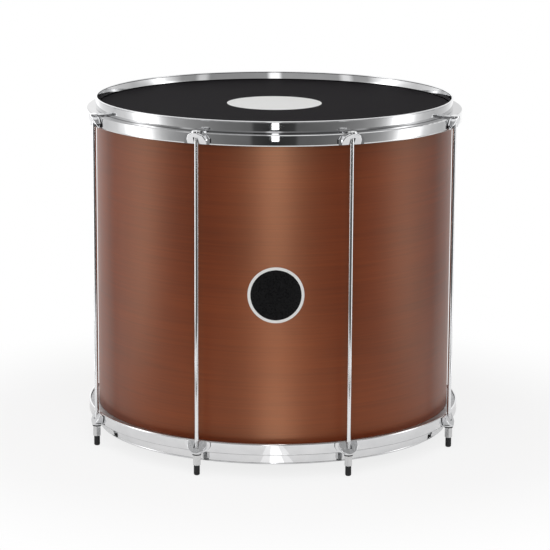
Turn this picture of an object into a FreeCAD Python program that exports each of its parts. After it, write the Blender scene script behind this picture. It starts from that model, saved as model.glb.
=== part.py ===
# Surdo drum: a wooden shell with a skin head at each end. Eight long rods pull two
# steel hoops towards each other, and each rod ends in a nut and a rubber foot.
# Millimetres, +Z up. The origin is the middle of the floor under the eight feet,
# and the badge on the shell faces -Y.

import FreeCAD, Part
import math
import os
import Sketcher

Vector = FreeCAD.Vector
Rotation = FreeCAD.Rotation
Placement = FreeCAD.Placement

PARTS_FOLDER = "parts"
X_AXIS = Vector(1, 0, 0)
Z_AXIS = Vector(0, 0, 1)

# Where the side of a bell bends: shares of its widening and of its shoulder
BELL_BEND_OUT = 0.6
BELL_BEND_DOWN = 0.25

# Driving dimensions: alias, value, what it measures
DIMENSIONS = [
    ("middle_height", 251.0, "floor to the plane halfway between the heads"),
    ("shell_radius", 251.0, "outside of the wooden shell"),
    ("shell_wall", 8.0, "thickness of the plywood"),
    ("head_level", 222.7, "middle plane to the playing surface of a head"),
    ("skin_thickness", 1.2, "coated hide"),
    ("bearing_radius", 247.0, "outer side of the edge that the skin bears on"),
    ("bearing_land", 2.0, "width of that edge"),
    ("bearing_slope", 2.0, "how far the inner side of the edge is eased"),
    ("bearing_lean", 2.0, "how far its outer side leans out on the way down"),
    ("lean_drop", 4.5, "crest of the edge to where that lean ends"),
    ("edge_drop", 9.5, "crest of the edge to the full radius of the shell"),
    ("rim_level", 234.5, "middle plane to the top of a hoop's rim"),
    ("rim_radius", 251.2, "centre line of the rolled bead"),
    ("bead_radius", 1.3, "rolled bead on the rim"),
    ("hoop_sheet", 1.8, "steel of the hoops"),
    ("band_radius", 252.1, "outside of the upright band below the bead"),
    ("lip_radius", 248.8, "inner side of the band where it comes nearest to the skin"),
    ("lip_level", 223.7, "middle plane to that place"),
    ("lip_rise", 0.6, "how much lower the lip ends against the band"),
    ("shelf_level", 218.7, "middle plane to the flat shelf of a hoop"),
    ("skirt_radius", 265.0, "outside of the skirt"),
    ("skirt_level", 202.9, "middle plane to the free edge of the skirt"),
    ("shelf_round", 1.5, "outer corner of the shelf"),
    ("flesh_level", 205.9, "middle plane to the free face of a flesh hoop"),
    ("flesh_clearance", 0.5, "flesh hoop to the skirt"),
    ("flesh_foot_gap", 0.3, "foot of the flesh hoop to the shell"),
    ("collar_level", 208.6, "middle plane to where the skin ends in the flesh hoop"),
    ("rod_count", 8, "tension rods"),
    ("rod_circle", 268.5, "drum axis to rod axis"),
    ("rod_shank_radius", 2.75, "plain part of a rod"),
    ("rod_thread_radius", 2.95, "crests of the M6 thread"),
    ("rod_thread_length", 46.0, "threaded end"),
    ("rod_head_radius", 6.6, "low round head"),
    ("rod_head_height", 1.9, "height of that head"),
    ("claw_sheet", 1.7, "thickness of a claw's tongue and wings"),
    ("claw_tongue_half", 7.0, "half the width of the tongue"),
    ("claw_gap", 0.3, "claw to skirt"),
    ("claw_drop", 15.2, "shelf to the open end of a claw"),
    ("wing_top_half", 8.0, "half the width of the wings at the shelf"),
    ("wing_half_width", 18.7, "half their width further down"),
    ("wing_shoulder", 8.4, "shelf to where they reach it"),
    ("wing_round", 6.0, "their upper corners"),
    ("wing_foot_round", 1.5, "their lower corners"),
    ("hood_top_half", 5.5, "half the width of the hood at the shelf"),
    ("hood_half_width", 14.0, "half its width further down"),
    ("hood_shoulder", 9.0, "shelf to where it reaches it"),
    ("hood_round", 5.0, "its upper corners"),
    ("hood_reach", 10.2, "how far the hood stands out from the skirt"),
    ("hood_foot", 1.9, "how far its open end stands out"),
    ("hood_edge_round", 1.2, "front edges of the hood"),
    ("hood_lid", 6.0, "shelf to where the hood opens and shows the rod"),
    ("claw_slot_half", 3.6, "half the width of that opening"),
    ("claw_bore_radius", 3.1, "rod hole in the tongue"),
    ("washer_radius", 6.1, "black washer"),
    ("washer_bore", 3.25, "hole in the washer"),
    ("washer_thickness", 2.0, "thickness of the washer"),
    ("nut_flats", 10.0, "nut across its flats"),
    ("nut_length", 14.2, "length of the nut"),
    ("nut_bore", 3.02, "threaded hole over the thread's crests"),
    ("nut_chamfer", 0.7, "corners of the nut turned off"),
    ("cap_radius", 4.1, "rubber foot"),
    ("cap_floor", 2.6, "rubber under the end of the rod"),
    ("cap_gap", 1.3, "bare thread between nut and foot"),
    ("cap_round", 2.2, "rounded tip of the foot"),
    ("badge_radius", 38.15, "round badge"),
    ("badge_thickness", 0.6, "plate of the badge"),
    ("badge_rim_width", 3.9, "raised rim of the badge"),
    ("badge_rim_height", 0.3, "height of that rim above the plate"),
    ("badge_turn", 0.77, "degrees from the front to the badge's centre"),
]

doc = FreeCAD.newDocument("surdo")
size = doc.addObject("Spreadsheet::Sheet", "size")
sub_parts = []


def fill_sheet():
    """Write the driving dimensions into the sheet, one alias to a row."""
    for row, (alias, value, note) in enumerate(DIMENSIONS, start=1):
        size.set(f"A{row}", alias)
        size.set(f"B{row}", str(value))
        size.set(f"C{row}", note)
        size.setAlias(f"B{row}", alias)
    doc.recompute()


def value_of(expression):
    """Work out an expression over the sheet's aliases as a plain number."""
    return float(size.evalExpression(expression))


def new_body(label, placement=None):
    """Start a sub-part made of sketched features."""
    body = doc.addObject("PartDesign::Body", label)
    body.Label = label
    if placement:
        body.Placement = placement
    sub_parts.append(body)
    return body


def plane_sketch(body, plane_name, offset=None):
    """Put an empty sketch on one of the body's own origin planes."""
    plane = next(item for item in body.Origin.OriginFeatures if item.Role == plane_name)
    sketch = body.newObject("Sketcher::SketchObject", "Sketch")
    sketch.AttachmentSupport = [(plane, "")]
    sketch.MapMode = "FlatFace"
    if offset:
        sketch.setExpression("AttachmentOffset.Base.z", offset)
    return sketch


def fix_point(sketch, geometry, point, across, up):
    """Tie a sketch point to the sketch's origin with two bound distances."""
    for kind, expression in (("DistanceX", across), ("DistanceY", up)):
        datum = value_of(expression)
        number = sketch.addConstraint(Sketcher.Constraint(kind, -1, 1, geometry, point, datum))
        sketch.setExpression(f"Constraints[{number}]", expression)


def add_outline(sketch, corners):
    """Draw a closed outline of straight sides through corners given as expressions."""
    places = [Vector(value_of(across), value_of(up), 0) for across, up in corners]
    first = sketch.GeometryCount
    count = len(places)
    for index, place in enumerate(places):
        sketch.addGeometry(Part.LineSegment(place, places[(index + 1) % count]))
    for index, (across, up) in enumerate(corners):
        following = first + (index + 1) % count
        sketch.addConstraint(Sketcher.Constraint("Coincident", first + index, 2, following, 1))
        fix_point(sketch, first + index, 1, across, up)


def add_circle(sketch, across, up, radius):
    """Draw a circle whose centre and radius are expressions."""
    centre = Vector(value_of(across), value_of(up), 0)
    number = sketch.addGeometry(Part.Circle(centre, Z_AXIS, value_of(radius)))
    fix_point(sketch, number, 3, across, up)
    limit = sketch.addConstraint(Sketcher.Constraint("Radius", number, value_of(radius)))
    sketch.setExpression(f"Constraints[{limit}]", radius)


def revolve(body, sketch, feature_type="PartDesign::Revolution"):
    """Turn a sketch round the body's own vertical axis."""
    feature = body.newObject(feature_type, "Turned")
    feature.Profile = sketch
    feature.ReferenceAxis = (sketch, ["V_Axis"])
    feature.Angle = 360
    return feature


def pad(body, sketch, length):
    """Push a sketch out along its normal."""
    feature = body.newObject("PartDesign::Pad", "Pad")
    feature.Profile = sketch
    feature.setExpression("Length", length)
    return feature


def pocket_both_ways(body, sketch):
    """Cut a sketch right through the body, to both sides of its plane."""
    feature = body.newObject("PartDesign::Pocket", "Pocket")
    feature.Profile = sketch
    feature.Type = "ThroughAll"
    feature.Midplane = True
    return feature


def round_edges(body, base, radius, chosen):
    """Round the edges of a feature for which chosen(edge) is true."""
    doc.recompute()
    names = [f"Edge{n}" for n, edge in enumerate(base.Shape.Edges, start=1) if chosen(edge)]
    fillet = body.newObject("PartDesign::Fillet", "Rounded")
    fillet.Base = (base, names)
    fillet.setExpression("Radius", radius)
    return fillet


def is_ring(edge, radius, level):
    """Say whether an edge is a full circle of this radius at this height."""
    curve = edge.Curve
    if not isinstance(curve, Part.Circle):
        return False
    near_radius = abs(curve.Radius - radius) < 0.01
    return near_radius and abs(curve.Center.z - level) < 0.01


def at_level(angle=0.0, upside_down=False):
    """Place a ring or a claw on the middle plane, turned over for the lower end."""
    turn = Rotation(Z_AXIS, angle)
    if upside_down:
        turn = turn.multiply(Rotation(X_AXIS, 180))
    return Placement(Vector(0, 0, value_of("size.middle_height")), turn)


def rod_angle(index):
    """Angle of a rod in plan: the rods straddle the badge evenly."""
    spacing = 360 / value_of("size.rod_count")
    return -90 + spacing * (index + 0.5)


def on_rod(index, turned=True):
    """Place a piece on a rod's axis, at the height of the middle plane."""
    angle = math.radians(rod_angle(index))
    circle = value_of("size.rod_circle")
    level = value_of("size.middle_height")
    place = Vector(circle * math.cos(angle), circle * math.sin(angle), level)
    turn = rod_angle(index) if turned else 0
    return Placement(place, Rotation(Z_AXIS, turn))


def build_shell():
    """Plywood tube with a bearing edge turned on each end."""
    body = new_body("shell", at_level())
    sketch = plane_sketch(body, "XZ_Plane")
    crest = "(size.head_level - size.skin_thickness)"
    inner = "size.shell_radius - size.shell_wall"
    land = "size.bearing_radius - size.bearing_land"
    upper = [
        ("size.shell_radius", f"{crest} - size.edge_drop"),
        ("size.bearing_radius + size.bearing_lean", f"{crest} - size.lean_drop"),
        ("size.bearing_radius", crest),
        (land, crest),
        (inner, f"{crest} - size.bearing_slope"),
    ]
    lower = [(across, f"-({up})") for across, up in reversed(upper)]
    add_outline(sketch, upper + lower)
    revolve(body, sketch)


def build_head(label, upside_down):
    """Skin: flat over the shell, then down its edge and into the flesh hoop."""
    body = new_body(label, at_level(upside_down=upside_down))
    sketch = plane_sketch(body, "XZ_Plane")
    crest = "(size.head_level - size.skin_thickness)"
    outside = "size.bearing_radius + size.skin_thickness - 0.05"
    add_outline(sketch, [
        ("0", crest),
        ("size.bearing_radius", crest),
        ("size.bearing_radius + size.bearing_lean", f"{crest} - size.lean_drop"),
        ("size.shell_radius", f"{crest} - size.edge_drop"),
        ("size.shell_radius", "size.collar_level"),
        ("size.shell_radius + size.skin_thickness", "size.collar_level"),
        ("size.shell_radius + size.skin_thickness", f"{crest} - size.edge_drop + 0.3"),
        (f"{outside} + size.bearing_lean", f"{crest} - size.lean_drop + 0.3"),
        (f"{outside} - 0.15", f"{crest} + 0.8"),
        ("size.bearing_radius + 0.3", "size.head_level"),
        ("0", "size.head_level"),
    ])
    revolve(body, sketch)


def build_flesh_hoop(label, upside_down):
    """Bright hoop that grips the edge of the skin, caught under the steel hoop's shelf."""
    body = new_body(label, at_level(upside_down=upside_down))
    sketch = plane_sketch(body, "XZ_Plane")
    foot = "size.shell_radius + size.flesh_foot_gap"
    inner = "size.shell_radius + size.skin_thickness"
    outer = "size.skirt_radius - size.hoop_sheet - size.flesh_clearance"
    top = "size.shelf_level - size.hoop_sheet"
    add_outline(sketch, [
        (foot, "size.flesh_level"),
        (outer, "size.flesh_level"),
        (outer, top),
        (inner, top),
        (inner, "size.collar_level"),
        (foot, "size.collar_level"),
    ])
    revolve(body, sketch)


def build_hoop(label, upside_down):
    """Pressed steel hoop: beaded rim, upright band with a lip inside, flat shelf and skirt."""
    body = new_body(label, at_level(upside_down=upside_down))
    sketch = plane_sketch(body, "XZ_Plane")
    underside = "size.shelf_level - size.hoop_sheet"
    bead_level = "size.rim_level - size.bead_radius"
    inner = "size.band_radius - size.hoop_sheet"
    add_outline(sketch, [
        (inner, bead_level),
        ("size.lip_radius", "size.lip_level"),
        (inner, "size.lip_level - size.lip_rise"),
        (inner, underside),
        ("size.skirt_radius - size.hoop_sheet", underside),
        ("size.skirt_radius - size.hoop_sheet", "size.skirt_level"),
        ("size.skirt_radius", "size.skirt_level"),
        ("size.skirt_radius", "size.shelf_level"),
        ("size.band_radius", "size.shelf_level"),
        ("size.band_radius", bead_level),
    ])
    sheet_metal = revolve(body, sketch)
    corner = value_of("size.skirt_radius")
    level = value_of("size.shelf_level")
    round_edges(body, sheet_metal, "size.shelf_round", lambda edge: is_ring(edge, corner, level))
    bead = plane_sketch(body, "XZ_Plane")
    add_circle(bead, "size.rim_radius", bead_level, "size.bead_radius")
    revolve(body, bead)


def build_badge():
    """Round badge bent to the shell, with a raised rim."""
    level = "size.middle_height"
    blanks = []
    for ring, radius in (("plate", "size.badge_radius"),
                         ("field", "size.badge_radius - size.badge_rim_width")):
        disc = doc.addObject("Part::Cylinder", f"badge_{ring}_disc")
        disc.setExpression("Radius", radius)
        disc.Placement = Placement(Vector(0, 0, 0), Rotation(X_AXIS, 90))
        disc.setExpression("Height", "size.shell_radius + 10")
        blanks.append(disc)
    skins = []
    for skin, radius in (("shell_side", "size.shell_radius"),
                         ("face", "size.shell_radius + size.badge_thickness"),
                         ("rim", "size.shell_radius + size.badge_thickness + size.badge_rim_height")):
        drum = doc.addObject("Part::Cylinder", f"badge_{skin}")
        drum.setExpression("Radius", radius)
        drum.setExpression("Height", "4 * size.badge_radius")
        drum.setExpression("Placement.Base.z", "-2 * size.badge_radius")
        skins.append(drum)
    plate_disc, field_disc = blanks
    shell_side, face, rim = skins
    raised = join("Part::Common", "badge_raised", plate_disc, rim)
    hollow = join("Part::Cut", "badge_hollow", field_disc, face)
    framed = join("Part::Cut", "badge_framed", raised, hollow)
    badge = join("Part::Cut", "badge", framed, shell_side)
    turn = Rotation(Z_AXIS, value_of("size.badge_turn"))
    badge.Placement = Placement(Vector(0, 0, value_of(level)), turn)
    sub_parts.append(badge)


def join(kind, label, base, tool):
    """Combine two solids with a boolean of the kind given."""
    result = doc.addObject(kind, label)
    result.Base = base
    result.Tool = tool
    return result


def build_rod(index):
    """Tension rod: low round head, plain shank and threaded lower end."""
    body = new_body(f"rod_{index + 1}", on_rod(index))
    sketch = plane_sketch(body, "XZ_Plane")
    seat = "size.shelf_level + size.claw_sheet"
    top = f"{seat} + size.rod_head_height"
    end = "(size.cap_floor - size.middle_height)"
    thread = "size.rod_thread_radius"
    add_outline(sketch, [
        ("0", top),
        ("size.rod_head_radius * 0.45", f"{top} - 0.15"),
        ("size.rod_head_radius * 0.8", f"{top} - 0.6"),
        ("size.rod_head_radius", f"{seat} + 0.6"),
        ("size.rod_head_radius", seat),
        ("size.rod_shank_radius", seat),
        ("size.rod_shank_radius", f"{end} + size.rod_thread_length"),
        (thread, f"{end} + size.rod_thread_length - 0.6"),
        (thread, f"{end} + 0.8"),
        (f"{thread} - 0.8", end),
        ("0", end),
    ])
    revolve(body, sketch)


def is_corner(edge, side, level):
    """Say whether an edge runs radially through this place in a claw's front view."""
    if not isinstance(edge.Curve, Part.Line):
        return False
    first, last = edge.Vertexes[0].Point, edge.Vertexes[-1].Point
    if abs(first.x - last.x) < 0.5:
        return False
    return all(abs(abs(end.y) - side) < 0.01 and abs(end.z - level) < 0.01 for end in (first, last))


def is_rising(edge, near, low, far, high):
    """Say whether an edge climbs in the plane that slopes from (near, low) to (far, high)."""
    points = [vertex.Point for vertex in edge.Vertexes]
    points.append(edge.valueAt((edge.FirstParameter + edge.LastParameter) / 2))
    grade = (far - near) / (high - low)
    in_plane = all(abs(near + grade * (point.z - low) - point.x) < 0.01 for point in points)
    return in_plane and abs(points[0].z - points[1].z) > 0.01


def add_bell(body, plane, top_half, half_width, shoulder, foot, depth, rounds):
    """Pad a bell shape seen from the front: narrow at the shelf and wide at the open end."""
    shelf = "size.shelf_level"
    bend = f"{top_half} + ({half_width} - {top_half}) * {BELL_BEND_OUT}"
    corners = [
        (top_half, shelf, None),
        (bend, f"{shelf} - {shoulder} * {BELL_BEND_DOWN}", rounds[0]),
        (half_width, f"{shelf} - {shoulder}", rounds[1]),
        (half_width, foot, rounds[2]),
    ]
    front = plane_sketch(body, "YZ_Plane", plane)
    right_side = [(across, up) for across, up, radius in corners]
    left_side = [(f"-({across})", up) for across, up in reversed(right_side)]
    add_outline(front, right_side + left_side)
    shape = pad(body, front, depth)
    for across, up, radius in corners:
        if radius:
            side, level = value_of(across), value_of(up)
            shape = round_edges(body, shape, radius, lambda edge: is_corner(edge, side, level))


def build_claw(label, index, upside_down):
    """Claw: a tongue over the shelf, a hood over the rod, and a thin wing to each side."""
    body = new_body(label, at_level(rod_angle(index), upside_down))
    near = "size.skirt_radius + size.claw_gap"
    far = f"{near} + size.hood_reach"
    shelf = "size.shelf_level"
    foot = f"{shelf} - size.claw_drop"
    rod = "size.rod_circle"
    reach = "size.claw_tongue_half"

    hood = "size.hood_round"
    add_bell(body, near, "size.hood_top_half", "size.hood_half_width", "size.hood_shoulder",
             foot, "size.hood_reach", (hood, hood, None))
    slope = plane_sketch(body, "XZ_Plane")
    toe = f"{near} + size.hood_foot"
    add_outline(slope, [(far, shelf), (toe, foot), (toe, f"{foot} - 2"), (f"{far} + 1", f"{foot} - 2"),
                        (f"{far} + 1", shelf)])
    sloped = pocket_both_ways(body, slope)
    ends = [value_of(level) for level in (toe, foot, far, shelf)]
    round_edges(body, sloped, "size.hood_edge_round", lambda edge: is_rising(edge, *ends))
    wing = "size.wing_round"
    add_bell(body, near, "size.wing_top_half", "size.wing_half_width", "size.wing_shoulder",
             foot, "size.claw_sheet", (wing, wing, "size.wing_foot_round"))

    opening = plane_sketch(body, "YZ_Plane", f"{near} - 1")
    half = "size.claw_slot_half"
    lid = f"{shelf} - size.hood_lid"
    add_outline(opening, [
        (half, lid),
        (f"-{half}", lid),
        (f"-{half}", f"{foot} - 1"),
        (half, f"{foot} - 1"),
    ])
    slot = body.newObject("PartDesign::Pocket", "Slot")
    slot.Profile = opening
    slot.Type = "ThroughAll"
    slot.Reversed = True

    tongue = plane_sketch(body, "XY_Plane", shelf)
    start = "size.band_radius + size.claw_gap"
    add_outline(tongue, [(start, reach), (start, f"-{reach}"), (rod, f"-{reach}"), (rod, reach)])
    pad(body, tongue, "size.claw_sheet")
    nose = plane_sketch(body, "XY_Plane", shelf)
    add_circle(nose, rod, "0", reach)
    pad(body, nose, "size.claw_sheet")

    bore = plane_sketch(body, "XY_Plane")
    add_circle(bore, rod, "0", "size.claw_bore_radius")
    pocket_both_ways(body, bore)


def build_washer(index):
    """Washer between the lower claw and the nut."""
    body = new_body(f"washer_{index + 1}", on_rod(index))
    top = "-(size.shelf_level + size.claw_sheet)"
    sketch = plane_sketch(body, "XY_Plane", f"{top} - size.washer_thickness")
    add_circle(sketch, "0", "0", "size.washer_radius")
    add_circle(sketch, "0", "0", "size.washer_bore")
    pad(body, sketch, "size.washer_thickness")


def build_nut(index):
    """Long tuning nut with the corners turned off at both ends."""
    body = new_body(f"nut_{index + 1}", on_rod(index, turned=False))
    top = "-(size.shelf_level + size.claw_sheet + size.washer_thickness)"
    base = f"{top} - size.nut_length"
    sketch = plane_sketch(body, "XY_Plane", base)
    corner = "size.nut_flats / sqrt(3)"
    flat = "size.nut_flats / 2"
    add_outline(sketch, [
        ("0", corner),
        (f"-{flat}", f"{corner} / 2"),
        (f"-{flat}", f"-{corner} / 2"),
        ("0", f"-{corner}"),
        (flat, f"-{corner} / 2"),
        (flat, f"{corner} / 2"),
    ])
    add_circle(sketch, "0", "0", "size.nut_bore")
    pad(body, sketch, "size.nut_length")
    corners = plane_sketch(body, "XZ_Plane")
    for face, inward in ((top, "-"), (base, "+")):
        add_outline(corners, [
            (f"{flat} - 0.1", face),
            (f"{corner} + 0.5", face),
            (f"{corner} + 0.5", f"{face} {inward} size.nut_chamfer"),
        ])
    revolve(body, corners, "PartDesign::Groove")


def build_cap(index):
    """Rubber foot pushed on to the end of the rod."""
    body = new_body(f"cap_{index + 1}", on_rod(index))
    sketch = plane_sketch(body, "XZ_Plane")
    nut_end = "size.shelf_level + size.claw_sheet + size.washer_thickness + size.nut_length"
    mouth = f"-({nut_end} + size.cap_gap)"
    tip = "-size.middle_height"
    bed = "(size.cap_floor - size.middle_height)"
    thread = "size.rod_thread_radius"
    add_outline(sketch, [
        ("0", bed),
        (f"{thread} - 0.8", bed),
        (thread, f"{bed} + 0.8"),
        (thread, mouth),
        ("size.cap_radius - 0.3", mouth),
        ("size.cap_radius", f"{mouth} - 0.3"),
        ("size.cap_radius", tip),
        ("0", tip),
    ])
    turned = revolve(body, sketch)
    radius = value_of("size.cap_radius")
    level = value_of(tip)
    round_edges(body, turned, "size.cap_round", lambda edge: is_ring(edge, radius, level))


def check_model():
    """Stop if any object failed, or a sub-part is not one valid solid."""
    for item in doc.Objects:
        if "Invalid" in item.State or "Error" in item.State:
            raise RuntimeError(f"{item.Name} failed: {item.State}")
    for piece in sub_parts:
        shape = piece.Shape
        if shape.isNull() or not shape.isValid() or len(shape.Solids) != 1:
            raise RuntimeError(f"{piece.Label} is not one valid solid")


def export_parts():
    """Write each sub-part to a file named after its node."""
    os.makedirs(PARTS_FOLDER, exist_ok=True)
    for piece in sub_parts:
        piece.Shape.exportStep(os.path.join(PARTS_FOLDER, f"{piece.Label}.step"))
        box = piece.Shape.BoundBox
        print(f"{piece.Label}: volume {piece.Shape.Volume:.0f}, z {box.ZMin:.1f} to {box.ZMax:.1f}")


def build_drum():
    """Build every sub-part: the shell and its two ends first, then the rods and fittings."""
    fill_sheet()
    build_shell()
    for place, upside_down in (("top", False), ("bottom", True)):
        build_head(f"{place}_head", upside_down)
        build_flesh_hoop(f"{place}_flesh_hoop", upside_down)
        build_hoop(f"{place}_hoop", upside_down)
    build_badge()
    for index in range(int(value_of("size.rod_count"))):
        build_rod(index)
        build_claw(f"top_claw_{index + 1}", index, False)
        build_claw(f"bottom_claw_{index + 1}", index, True)
        build_washer(index)
        build_nut(index)
        build_cap(index)
    doc.recompute()
    check_model()
    export_parts()


build_drum()
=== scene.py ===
# %% [markdown]
# # A surdo in the studio
# A surdo is the big bass drum of a samba band. This lesson takes the drum's parts as they come
# from the drawing office and gives every one the finish of the real thing: stained plywood,
# black hide, chromed steel, zinc, nylon and rubber. The shapes are fixed already, so most of
# the lesson is about materials, and the rest about the light that shows them. The drum's middle
# is 251 mm above the floor, and several patterns are measured from there.

import math

import bpy
from mathutils import Matrix, Vector

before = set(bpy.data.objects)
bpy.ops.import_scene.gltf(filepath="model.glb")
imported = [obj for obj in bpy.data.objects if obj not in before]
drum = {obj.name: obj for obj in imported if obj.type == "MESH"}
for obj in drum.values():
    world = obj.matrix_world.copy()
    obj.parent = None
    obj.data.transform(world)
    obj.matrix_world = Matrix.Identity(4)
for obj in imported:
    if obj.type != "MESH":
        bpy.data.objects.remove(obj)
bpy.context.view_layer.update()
MIDDLE = 0.251

# %% [markdown]
# ## Arithmetic on a surface
# A pattern is a sum worked out at every point of a surface. Blender draws sums as Math nodes,
# and a long sum becomes a wall of them. It could be wired by hand, one node at a time, but a
# small class that stands for "the number here" lets us write the sum as a line of Python, and
# each + or * puts down its own node.

# %% A number that varies over a surface
class Reading:
    """One value socket, which can be added to, multiplied and so on."""

    def __init__(self, socket):
        self.socket = socket

    def __add__(self, other):
        return work("ADD", self, other)

    def __sub__(self, other):
        return work("SUBTRACT", self, other)

    def __rsub__(self, other):
        return work("SUBTRACT", other, self)

    def __mul__(self, other):
        return work("MULTIPLY", self, other)

    def __truediv__(self, other):
        return work("DIVIDE", self, other)

    def __gt__(self, other):
        return work("GREATER_THAN", self, other)

    def __lt__(self, other):
        return work("LESS_THAN", self, other)

    def __abs__(self):
        return work("ABSOLUTE", self)

    __radd__ = __add__
    __rmul__ = __mul__


def work(operation, *terms):
    """Put down one Math node, plug its terms in and return its answer."""
    tree = next(term.socket.id_data for term in terms if isinstance(term, Reading))
    node = tree.nodes.new("ShaderNodeMath")
    node.operation = operation
    for place, term in enumerate(terms):
        if isinstance(term, Reading):
            tree.links.new(term.socket, node.inputs[place])
        else:
            node.inputs[place].default_value = term
    return Reading(node.outputs[0])


def distance(across, along):
    """How far a point is from the middle, from its two measures."""
    return work("SQRT", across * across + along * along)


print("operators ready:", [name for name in vars(Reading) if name.startswith("__")][2:])

# %% [markdown]
# ## A bench for mixing finishes
# Every finish below starts on the same bench: a new material with one shader on it. Numbers
# that are the same all over, such as how metallic steel is, are set once on the shader. Patterns
# come from other nodes, and one method lays all of those: it takes the kind of node, the
# settings that decide what sort it is, and then what goes into its sockets.

# %% The bench
class Bench:
    """A tree of nodes, and the methods that lay more of them."""

    def __init__(self, owner):
        owner.use_nodes = True
        self.tree = owner.node_tree

    def node(self, kind, settings, sockets, output=0):
        """Lay one node and return one of its outputs."""
        node = self.tree.nodes.new("ShaderNode" + kind)
        for name, value in settings.items():
            if name == "stops":
                self.set_stops(node.color_ramp, value)
            else:
                setattr(node, name, value)
        for name, value in sockets.items():
            self.plug(value, node.inputs[name])
        return Reading(node.outputs[output])

    def plug(self, value, socket):
        """Link a reading to a socket, or set the socket to a plain value."""
        if isinstance(value, Reading):
            self.tree.links.new(value.socket, socket)
        else:
            socket.default_value = value

    def set_stops(self, ramp, stops):
        """Give a colour ramp its stops: place and colour."""
        while len(ramp.elements) < len(stops):
            ramp.elements.new(1.0)
        for element, (place, colour) in zip(ramp.elements, stops):
            element.position = place
            element.color = (*colour, 1.0)

    def place(self):
        """The point on the piece, in metres, as three readings."""
        point = self.node("TexCoord", {}, {}, "Object")
        return [self.node("SeparateXYZ", {}, {"Vector": point}, axis) for axis in "XYZ"]

    def speckle(self, stretch, detail=2.0, roughness=0.5, warp=0.0):
        """Cloudy noise from 0 to 1; stretch is features to the metre along X, Y and Z."""
        point = self.node("TexCoord", {}, {}, "Object")
        point = self.node("Mapping", {}, {"Vector": point, "Scale": stretch})
        return self.node("TexNoise", {}, {"Vector": point, "Scale": 1.0, "Detail": detail,
                                          "Roughness": roughness, "Distortion": warp})

    def ramp(self, reading, stops):
        """Turn a number into a colour by stops along it."""
        return self.node("ValToRGB", {"stops": stops}, {"Fac": reading})

    def smooth(self, reading, low, high, start=0.0, end=1.0):
        """Ease a reading from start to end as it goes from low to high."""
        return self.node("MapRange", {"interpolation_type": "SMOOTHSTEP"},
                         {"Value": reading, "From Min": low, "From Max": high,
                          "To Min": start, "To Max": end})

    def mix(self, mask, under, over):
        """Lay one colour over another where the mask is 1."""
        return self.node("Mix", {"data_type": "RGBA"}, {0: mask, 6: under, 7: over}, 2)

    def bump(self, height, depth, under=None):
        """Turn a height from 0 to 1 into relief so many metres deep."""
        sockets = {"Height": height, "Strength": 1.0, "Distance": depth}
        if under is not None:
            sockets["Normal"] = under
        return self.node("Bump", {}, sockets)


class Finish(Bench):
    """A material with a Principled shader, whose patterns are laid on the bench."""

    def __init__(self, name, **constants):
        self.material = bpy.data.materials.new(name)
        super().__init__(self.material)
        self.shader = self.tree.nodes["Principled BSDF"]
        for socket, value in constants.items():
            self.shader.inputs[socket.replace("_", " ")].default_value = value

    def set(self, **patterns):
        """Plug patterns into the shader, and return the finished material."""
        for socket, reading in patterns.items():
            self.plug(reading, self.shader.inputs[socket.replace("_", " ")])
        return self.material


def wear(material, *names):
    """Put a finish on pieces by name."""
    for name in names:
        drum[name].material_slots[0].material = material
    print(material.name, "on", len(names), "pieces:", ", ".join(names[:4]))


def of_kind(start):
    """Names of the numbered pieces of one kind."""
    return [f"{start}_{number}" for number in range(1, 9)]


# %% [markdown]
# ## The stained shell
# The shell is bent plywood, so its grain runs round the drum in level lines. It was stained a
# red brown and sprayed with satin varnish. A picture of wood would show its edges and repeat.
# Noise stretched flat, long along X and Y and thin along Z, gives level grain all the way round
# without a join. Three layers do it: wide bands, fibres, and the small open pores. The stain
# also tints the varnish over it, so its gloss is warm.

# %% Stained plywood
STAIN = [(0.36, (0.084, 0.0076, 0.0002)), (0.5, (0.128, 0.0140, 0.0003)),
         (0.64, (0.166, 0.0218, 0.0008))]
PORE_STAIN = (0.060, 0.015, 0.004, 1.0)
VARNISH_TINT = (1.0, 0.60, 0.36, 1.0)
GRAIN_DEPTH = 0.00003


def stained_plywood():
    wood = Finish("shell_wood", Specular_IOR_Level=1.0, Specular_Tint=VARNISH_TINT)
    bands = wood.speckle((1.3, 1.3, 30.0), 3.0, 0.55, 0.3)
    fibres = wood.speckle((7.0, 7.0, 520.0), 4.0, 0.62, 0.15)
    pores = wood.smooth(wood.speckle((30.0, 30.0, 1700.0), 1.0), 0.60, 0.74)
    blotches = wood.speckle((6.0, 6.0, 9.0), 2.0)
    tone = bands * 0.24 + fibres * 0.42 + blotches * 0.34
    colour = wood.mix(pores * 0.30, wood.ramp(tone, STAIN), PORE_STAIN)
    relief = fibres * 0.3 + (1 - pores) * 0.7
    return wood.set(Base_Color=colour, Roughness=0.36 + blotches * 0.05 + fibres * 0.06,
                    Normal=wood.bump(relief, GRAIN_DEPTH))


wear(stained_plywood(), "shell")

# %% [markdown]
# ## The skins
# Both skins are black and matte with a fine hide-like grain, and the upper one has a plain
# white disc in the middle. A flat dark grey would look like a hole cut in the picture. Two
# sizes of cells pressed in as relief catch the light as the real coating does. The disc is
# painted by its distance from the drum's axis, so it stays round whatever the mesh is like.

# %% Black hide
HIDE_BLACK = [(0.3, (0.0058, 0.0050, 0.0060)), (0.7, (0.0092, 0.0080, 0.0095))]
HIDE_DEPTH = 0.00018
DISC_RADIUS = 0.0672
DISC_EDGE = 0.0005
DISC_WHITE = (0.86, 0.86, 0.85, 1.0)


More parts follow.
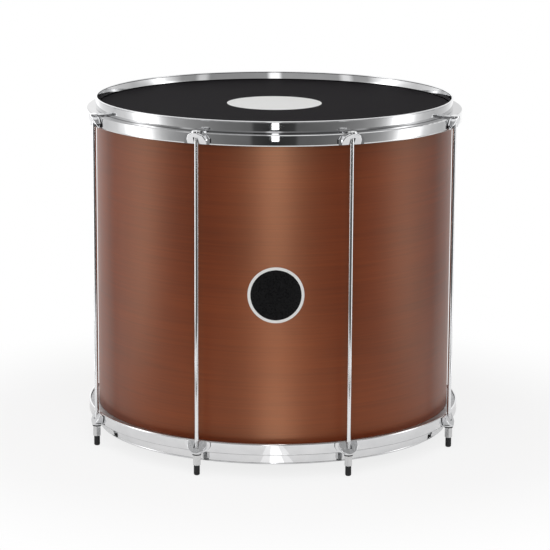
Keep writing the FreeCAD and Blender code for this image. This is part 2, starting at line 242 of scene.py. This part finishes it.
def black_hide():
    hide = Finish("head_skin", Specular_IOR_Level=0.007)
    point = hide.node("TexCoord", {}, {}, "Object")
    cells = hide.node("TexVoronoi", {"feature": "SMOOTH_F1"},
                      {"Vector": point, "Scale": 900.0, "Smoothness": 0.6, "Randomness": 1.0})
    folds = hide.speckle((260.0, 260.0, 260.0), 3.0, 0.6)
    clouds = hide.speckle((14.0, 14.0, 14.0), 3.0)
    x, y, z = hide.place()
    disc = hide.smooth(distance(x, y), DISC_RADIUS, DISC_RADIUS - DISC_EDGE) * (z > MIDDLE)
    colour = hide.mix(disc, hide.ramp(clouds, HIDE_BLACK), DISC_WHITE)
    return hide.set(Base_Color=colour, Roughness=0.55 + clouds * 0.10,
                    Normal=hide.bump(cells * 0.6 + folds * 0.4, HIDE_DEPTH))


wear(black_hide(), "top_head", "bottom_head")

# %% [markdown]
# ## Chromed hoops
# The hoops are rolled steel, polished and plated. A perfect mirror looks like glass, because
# real chrome has faint rolling marks and hazy patches. The marks run round the hoop, so their
# noise is squeezed along Z and stretched along the sheet. Rolling also leaves the sheet a hair
# thicker in the middle, which is why a lamp shows in it as a spot and not as a bar. The skirt's
# free edge is rounded by the polishing wheel and draws a thin bright line, and the corner of
# the shelf gets a thin line of painted shade in the chrome's colour.

# %% Chrome for the hoops
HOOP_CHROME = [(0.3, (0.70, 0.705, 0.715)), (0.7, (0.78, 0.783, 0.79))]
SHELF = 0.2187
BAND_MIDDLE = 0.2253
SKIRT_MIDDLE = 0.2108
CROWN_FALL = 15000.0
CROWN_DEPTH = 0.00027
MARK_DEPTH = 0.00002
EDGE_START, EDGE_END = -0.0062, -0.0079
EDGE_DEPTH = 0.0006
CREASE_OUT, CREASE_IN = 0.0011, 0.0003
CREASE_SHADE = (0.16, 0.16, 0.165, 1.0)


def hoop_chrome():
    chrome = Finish("hoop_chrome", Metallic=1.0)
    marks = chrome.speckle((7.0, 7.0, 520.0), 3.0, 0.6)
    haze = chrome.speckle((30.0, 30.0, 60.0), 3.0)
    level = abs(chrome.place()[2] - MIDDLE)
    on_band = level > SHELF
    on_skirt = 1 - on_band
    from_middle = (level - SKIRT_MIDDLE) * on_skirt + (level - BAND_MIDDLE) * on_band
    crown = 1 - from_middle * from_middle * CROWN_FALL
    edge = chrome.smooth(from_middle * on_skirt, EDGE_START, EDGE_END, 1.0, 0.0)
    relief = chrome.bump(marks * 0.5 + haze * 0.5, MARK_DEPTH)
    relief = chrome.bump(crown, CROWN_DEPTH, relief)
    relief = chrome.bump(edge, EDGE_DEPTH, relief)
    # Painted shade: a thin dark line in the chrome's colour along the corner of the shelf, where
    # band and skirt meet.
    crease_shade = chrome.smooth(abs(level - SHELF), CREASE_OUT, CREASE_IN) * 0.7
    colour = chrome.mix(crease_shade, chrome.ramp(haze, HOOP_CHROME), CREASE_SHADE)
    return chrome.set(Base_Color=colour, Roughness=0.025 + haze * 0.03 + marks * 0.02,
                      Normal=relief)


wear(hoop_chrome(), "top_hoop", "bottom_hoop")

# %% [markdown]
# ## Chromed claws
# A claw is cast, tumbled smooth and plated with the rest. Plating follows every wave of the
# casting, so its mirror is a little uneven. The hoop's rolled marks would be wrong here: soft
# lumps of a few millimetres, the same in all directions, give the wavering highlights.

# %% Chrome for the claws
CLAW_CHROME = [(0.3, (0.68, 0.685, 0.70)), (0.7, (0.80, 0.803, 0.81))]
CAST_DEPTH = 0.00005


def claw_chrome():
    chrome = Finish("claw_chrome", Metallic=1.0)
    cast = chrome.speckle((240.0, 240.0, 240.0), 2.0)
    haze = chrome.speckle((60.0, 60.0, 60.0), 3.0)
    return chrome.set(Base_Color=chrome.ramp(haze, CLAW_CHROME), Roughness=0.04 + haze * 0.05,
                      Normal=chrome.bump(cast, CAST_DEPTH))


wear(claw_chrome(), *of_kind("top_claw"), *of_kind("bottom_claw"))

# %% [markdown]
# ## Chromed rods
# A rod is drawn wire, so its marks run along it, and only its lower end is threaded. The
# thread's ridges are a millimetre apart and far finer than a pixel. Cutting them into the mesh
# would cost many thousand faces, so they are relief: height that goes up and down once a pitch.

# %% Chrome for the rods
ROD_CHROME = [(0.3, (0.72, 0.725, 0.735)), (0.7, (0.82, 0.823, 0.83))]
DRAWN_DEPTH = 0.000004
TURNS_TO_THE_METRE = 1000.0
THREAD_DEPTH = 0.0004
THREAD_TOP = 0.0486


def rod_chrome():
    chrome = Finish("rod_chrome", Metallic=1.0)
    drawn = chrome.speckle((900.0, 900.0, 14.0), 2.0)
    haze = chrome.speckle((50.0, 50.0, 24.0), 3.0)
    z = chrome.place()[2]
    ridges = work("PINGPONG", z * TURNS_TO_THE_METRE, 0.5) * 2.0
    relief = chrome.bump(ridges * (z < THREAD_TOP), THREAD_DEPTH, chrome.bump(drawn, DRAWN_DEPTH))
    return chrome.set(Base_Color=chrome.ramp(haze, ROD_CHROME), Roughness=0.08 + haze * 0.07,
                      Normal=relief)


wear(rod_chrome(), *of_kind("rod"))

# %% [markdown]
# ## Nuts
# The tuning nuts are plated too, but a spanner and many hands have dulled them to satin. The
# same recipe as the claws' would make them shine too clearly, so they are rougher, with a haze
# that is patchier up and down the nut than round it.

# %% Satin plate for the nuts
NUT_PLATE = [(0.3, (0.60, 0.602, 0.605)), (0.7, (0.72, 0.722, 0.725))]


def nut_steel():
    plate = Finish("nut_steel", Metallic=1.0)
    haze = plate.speckle((120.0, 120.0, 60.0), 3.0)
    return plate.set(Base_Color=plate.ramp(haze, NUT_PLATE), Roughness=0.17 + haze * 0.1)


wear(nut_steel(), *of_kind("nut"))

# %% [markdown]
# ## Washers
# A black nylon washer keeps each nut off the claw's plating. Moulded nylon is dull and never
# quite black, because dust settles in it. Black alone would vanish, so a fine dust pattern
# lifts both its colour and its roughness.

# %% Nylon for the washers
NYLON_BLACK = [(0.35, (0.008, 0.008, 0.009)), (0.7, (0.016, 0.016, 0.017))]


def washer_nylon():
    nylon = Finish("washer_nylon", Specular_IOR_Level=0.15)
    dust = nylon.speckle((300.0, 300.0, 300.0), 3.0)
    return nylon.set(Base_Color=nylon.ramp(dust, NYLON_BLACK), Roughness=0.42 + dust * 0.16)


wear(washer_nylon(), *of_kind("washer"))

# %% [markdown]
# ## Feet
# The drum stands on rubber caps pushed over the rods' ends. Rubber is softer to look at than
# nylon: greyer, rougher and slightly pitted. The pits come from the same dust pattern as the
# colour, because dirt gathers in them on the real caps.

# %% Rubber for the feet
RUBBER_BLACK = [(0.35, (0.011, 0.011, 0.012)), (0.7, (0.022, 0.022, 0.023))]
PIT_DEPTH = 0.00006


def foot_rubber():
    rubber = Finish("foot_rubber", Specular_IOR_Level=0.3)
    dust = rubber.speckle((260.0, 260.0, 260.0), 4.0, 0.65)
    return rubber.set(Base_Color=rubber.ramp(dust, RUBBER_BLACK), Roughness=0.5 + dust * 0.2,
                      Normal=rubber.bump(dust, PIT_DEPTH))


wear(foot_rubber(), *of_kind("cap"))

# %% [markdown]
# ## Flesh hoops
# The skin's edge ends in a metal ring that hides under the steel hoop. It isn't plated for
# show, so it gets bare zinc: grey, dull, and mottled with the spangle of its crystals. That
# takes one noise for both colour and roughness, since nobody sees more than a thin edge of it.

# %% Zinc for the flesh hoops
ZINC = [(0.35, (0.40, 0.41, 0.42)), (0.7, (0.55, 0.56, 0.57))]


def flesh_hoop_metal():
    zinc = Finish("flesh_hoop_metal", Metallic=1.0)
    spangle = zinc.speckle((90.0, 90.0, 90.0), 2.0)
    return zinc.set(Base_Color=zinc.ramp(spangle, ZINC), Roughness=0.35 + spangle * 0.2)


wear(flesh_hoop_metal(), "top_flesh_hoop", "bottom_flesh_hoop")

# %% [markdown]
# ## Badge
# A round enamelled plate sits on the front of the shell, black with a raised white rim. The
# rim could be a piece of its own, but it is one plate, so the enamel changes colour with the
# distance from the badge's centre, which lies a little right of the drum's middle.

# %% Enamel for the badge
ENAMEL_BLACK = [(0.3, (0.006, 0.006, 0.0065)), (0.7, (0.012, 0.012, 0.0125))]
ENAMEL_WHITE = (0.80, 0.80, 0.79, 1.0)
BADGE_ASIDE = 0.0034
BADGE_FIELD = 0.0343


def badge_enamel():
    enamel = Finish("badge_metal", Specular_IOR_Level=0.3)
    x, _, z = enamel.place()
    rim = distance(x - BADGE_ASIDE, z - MIDDLE) > BADGE_FIELD
    specks = enamel.speckle((400.0, 400.0, 400.0), 2.0)
    colour = enamel.mix(rim, enamel.ramp(specks, ENAMEL_BLACK), ENAMEL_WHITE)
    return enamel.set(Base_Color=colour, Roughness=0.12 + specks * 0.03)


wear(badge_enamel(), "badge")

# %% [markdown]
# ## Where the camera stands
# The drum was photographed from three and a half metres away and well above it, through a long
# lens. Standing close with a wide lens would make the near hoop bulge, and the far rim vanish.
# The distance and height below were worked out from how open the ovals of the two hoops look.

# %% Camera
IMAGE_PIXELS = 550
LENS_PIXELS = 2550.0
FILM_WIDTH = 36.0
CAMERA_PLACE = (0.0, -3.576, MIDDLE + 0.7413)
PITCH, TURN, ROLL = (math.radians(angle) for angle in (77.887, -0.034, 0.30))


def stand_camera():
    camera = bpy.data.cameras.new("camera")
    camera.sensor_width = FILM_WIDTH
    camera.lens = LENS_PIXELS / IMAGE_PIXELS * FILM_WIDTH
    stand = bpy.data.objects.new("camera", camera)
    aim = Matrix.Rotation(TURN, 4, "Z") @ Matrix.Rotation(PITCH, 4, "X")
    stand.matrix_world = Matrix.Translation(CAMERA_PLACE) @ (aim @ Matrix.Rotation(ROLL, 4, "Z"))
    bpy.context.collection.objects.link(stand)
    bpy.context.scene.camera = stand
    print("lens", round(camera.lens, 1), "mm")


stand_camera()

# %% [markdown]
# ## Floor and white surround
# The drum was photographed on white, with hardly a shadow. That could be done with stronger
# lamps, but they would bleach the drum. So the white is painted on the floor and on the world
# for the rays that only look at them, straight or in a mirror. The lamps never see it, and
# the floor keeps a soft shadow. Under the drum it is left darker, and far out it fades away.

# %% Rays that look
def looking(bench):
    """For rays from the eye and for those by a mirror or glass: 1, and 0 for light."""
    eye, mirror, glass = (bench.node("LightPath", {}, {}, f"Is {kind} Ray")
                          for kind in ("Camera", "Glossy", "Transmission"))
    return eye, work("MAXIMUM", mirror, glass)


def glow(bench, colour):
    """A shader that only shines; a colour of 1 looks white."""
    return bench.node("Emission", {}, {"Color": colour, "Strength": 1.0})


# %% Floor
FLOOR_REACH = 3.6
FLOOR_PALE = (0.80, 0.80, 0.80, 1.0)
UNDER_START, UNDER_END = 0.20, 0.34
SHADOW_START, SHADOW_END = 0.36, 0.70
FADE_START, FADE_END = 0.55, 1.1
EYE_WHITE = 0.82
MIRROR_UNDER, MIRROR_NEAR = 0.2, 0.62
WHITE = (1.0, 1.0, 1.0, 1.0)


def floor_paint():
    """Pale paint that keeps the drum's shadow and fades into the white round it."""
    paint = Finish("floor_paint", Roughness=0.9, Specular_IOR_Level=0.0, Base_Color=FLOOR_PALE)
    x, y, _ = paint.place()
    radius = distance(x, y)
    eye, mirror = looking(paint)
    further = paint.smooth(radius, SHADOW_START, SHADOW_END)
    near = paint.smooth(radius, UNDER_START, UNDER_END, MIRROR_UNDER, MIRROR_NEAR)
    lift = (eye * (EYE_WHITE + further * (1 - EYE_WHITE))
            + mirror * (near + further * (1 - MIRROR_NEAR)))
    lifted = paint.node("MixShader", {}, {0: lift, 1: Reading(paint.shader.outputs[0]),
                                          2: glow(paint, WHITE)})
    faded = paint.node("MixShader", {}, {0: paint.smooth(radius, FADE_START, FADE_END), 1: lifted,
                                         2: paint.node("BsdfTransparent", {}, {})})
    paint.plug(faded, paint.tree.nodes["Material Output"].inputs["Surface"])
    return paint.material


def sheet(name, corners, faces, material):
    """A piece of the studio, which isn't part of the drum."""
    mesh = bpy.data.meshes.new(name)
    mesh.from_pydata(corners, [], faces)
    mesh.materials.append(material)
    made = bpy.data.objects.new(name, mesh)
    bpy.context.collection.objects.link(made)
    return made


corners = [(side * FLOOR_REACH, end * FLOOR_REACH, 0.0)
           for side, end in ((-1, -1), (1, -1), (1, 1), (-1, 1))]
sheet("floor", corners, [(0, 1, 2, 3)], floor_paint())
print("floor laid,", 2 * FLOOR_REACH, "m wide")

# %% World
ROOM_LIGHT = 0.25


def light_world():
    """White to look at, and a gentle light from all round."""
    world = bpy.data.worlds.new("studio")
    room = Bench(world)
    seen, given = (room.node("Background", {}, {"Color": WHITE, "Strength": strength})
                   for strength in (1.0, ROOM_LIGHT))
    eye, mirror = looking(room)
    both = room.node("MixShader", {}, {0: eye + mirror, 1: given, 2: seen})
    room.plug(both, room.tree.nodes["World Output"].inputs["Surface"])
    bpy.context.scene.world = world


light_world()
print("room light", ROOM_LIGHT)

# %% [markdown]
# ## A screen for the chrome
# Chrome has no colour of its own: it shows the studio. With white on every side the hoops would
# lose their form. Photographers stand cards round a shiny thing for this, out of the picture,
# and the photograph's hoops show them: nearly black beside the front lamp, grey further round,
# and white at the sides. A bent sheet does the same here. It shows in mirrors only, casts no
# shadow, and its tone is a ramp round the bend. Above eye height a second ramp takes over,
# which the inside of the far rim mirrors, with patches of light in it.

# %% Card
SHINE = 3.4
CARD_TONES = [(0, 0.03), (11.5, 0.06), (13.5, 0.15), (27, 0.18), (42, 0.25), (53, 0.33),
              (61, 0.44), (66, 0.62), (70, 0.90), (74, 1.5), (78, 2.9), (84, 3.4), (90, 2.2),
              (96, 1.15), (103, 0.82), (115, 0.70), (134, 0.86), (150, 1.3), (180, 1.3)]
HIGH_TONES = [(0, 1.5), (3.0, 1.5), (5.5, 0.42), (47, 0.40), (51, 0.95), (55, 0.95),
              (59, 0.42), (70, 0.45), (82, 1.3), (90, 2.4), (100, 1.2), (116, 0.70),
              (150, 1.3), (180, 1.3)]
HIGH_START, HIGH_END = 0.62, 0.78
RIGHT_WEAKER = 0.20
BLACK = (0.0, 0.0, 0.0, 1.0)


def card_paint():
    """Grey that runs from dark at the front to white at the sides."""
    paint = Finish("card_paint", Roughness=1.0, Specular_IOR_Level=0.0, Base_Color=BLACK,
                   Emission_Strength=SHINE)
    x, y, z = paint.place()
    turn = abs(work("ARCTAN2", x, y * -1.0)) / math.pi
    low, high = (paint.ramp(turn, [(degrees / 180, (tone / SHINE,) * 3) for degrees, tone in tones])
                 for tones in (CARD_TONES, HIGH_TONES))
    both = paint.mix(paint.smooth(z, HIGH_START, HIGH_END), low, high)
    weaker = paint.smooth(x, -0.6, 0.6, 0.0, RIGHT_WEAKER)
    return paint.set(Emission_Color=paint.mix(weaker, both, BLACK))


def stand_round(name, rings, paint):
    """Stand a sheet on the floor all round the drum, where only mirrors see it."""
    bends = [math.radians(-180 + 4 * step) for step in range(91)]
    corners = [(out * math.sin(turn), -out * math.cos(turn), up)
               for out, up in rings for turn in bends]
    count = len(bends)
    faces = [(i, i + 1, count + i + 1, count + i)
             for ring in range(len(rings) - 1)
             for i in range(count * ring, count * (ring + 1) - 1)]
    card = sheet(name, corners, faces, paint)
    card.visible_camera = card.visible_diffuse = card.visible_shadow = False
    card.visible_transmission = card.visible_volume_scatter = False
    print(name, "stands with", len(faces), "faces")


stand_round("card", [(0.66, 0.004), (1.75, 0.004), (1.75, 2.3)], card_paint())

# %% [markdown]
# ## A kerb for the lower claws
# The lower claws look out nearly level and would mirror the card's dark foot, while on the real
# drum they are as pale as the floor. Raising the card's tones would spoil the upper hoop. A low
# white kerb, close in, stands only where the lower claws see it.

# %% Kerb
kerb_paint = Finish("kerb_paint", Roughness=1.0, Specular_IOR_Level=0.0, Base_Color=BLACK,
                    Emission_Color=WHITE, Emission_Strength=0.95)
stand_round("kerb", [(0.75, 0.004), (0.75, 0.065)], kerb_paint.material)

# %% [markdown]
# ## Lamps
# Two jobs are kept apart. Broad soft lamps at the front, above and at both sides give the light
# and don't show in the chrome, where the card already draws their shapes. Narrow strips only
# show: one in the upper hoop and the rods, two in the shell's varnish, and two on the floor in
# the lower hoop. One bright strip for everything would bleach the rods, so each strip of the
# last two pairs is linked to the piece that shows it.

# %% Lamps
def hang_lamp(name, place, target, size, level, light=True, shine=True, only=None):
    """Soft rectangular lamp facing a target; a level of 1 looks white."""
    width, height = size
    lamp = bpy.data.lights.new(name, "AREA")
    lamp.shape = "RECTANGLE"
    lamp.size, lamp.size_y = width, height
    lamp.energy = level * math.pi * width * height
    stand = bpy.data.objects.new(name, lamp)
    stand.location = place
    stand.rotation_euler = (Vector(target) - Vector(place)).to_track_quat("-Z", "Y").to_euler()
    stand.visible_camera, stand.visible_diffuse, stand.visible_glossy = False, light, shine
    if only is not None:
        group = bpy.data.collections.new(name)
        group.objects.link(drum[only])
        stand.light_linking.receiver_collection = group
    bpy.context.collection.objects.link(stand)
    print(name, round(lamp.energy, 1), "W")


# %% Strips that show
hang_lamp("front_strip", (0.02, -1.70, 0.42), (0.02, 0, 0.42), (0.11, 0.42), 4.0, light=False)
hang_lamp("varnish_strip", (0.02, -1.72, 1.06), (0.02, 0, 1.06), (0.11, 2.1), 28.0,
          light=False, only="shell")
hang_lamp("varnish_floor", (0.015, -1.02, 0.008), (0.015, -1.02, 1.0), (0.11, 1.34), 3.5,
          light=False, only="shell")
hang_lamp("hoop_floor", (0.007, -0.50, 0.008), (0.007, -0.50, 1.0), (0.055, 0.46), 0.22,
          light=False, only="bottom_hoop")
hang_lamp("hoop_middle", (0.007, -0.50, 0.009), (0.007, -0.50, 1.0), (0.024, 0.46), 0.45,
          light=False, only="bottom_hoop")

# %% Lamps that light
hang_lamp("front_soft", (0.0, -2.4, 1.3), (0, 0, 0.25), (1.8, 1.6), 3.0, shine=False)
hang_lamp("left_soft", (-1.67, 0.30, 0.9), (0, 0, 0.9), (0.9, 1.78), 1.9, shine=False)
hang_lamp("right_soft", (1.67, 0.30, 0.9), (0, 0, 0.9), (0.9, 1.78), 0.85, shine=False)
hang_lamp("top_soft", (0.0, -0.6, 2.4), (0, 0, 0.3), (2.0, 2.0), 1.5, shine=False)

bpy.context.scene.view_settings.view_transform = "Standard"

# %% [markdown]
# ## The drum's size stays as drawn
# The finishes must not make the drum bigger.
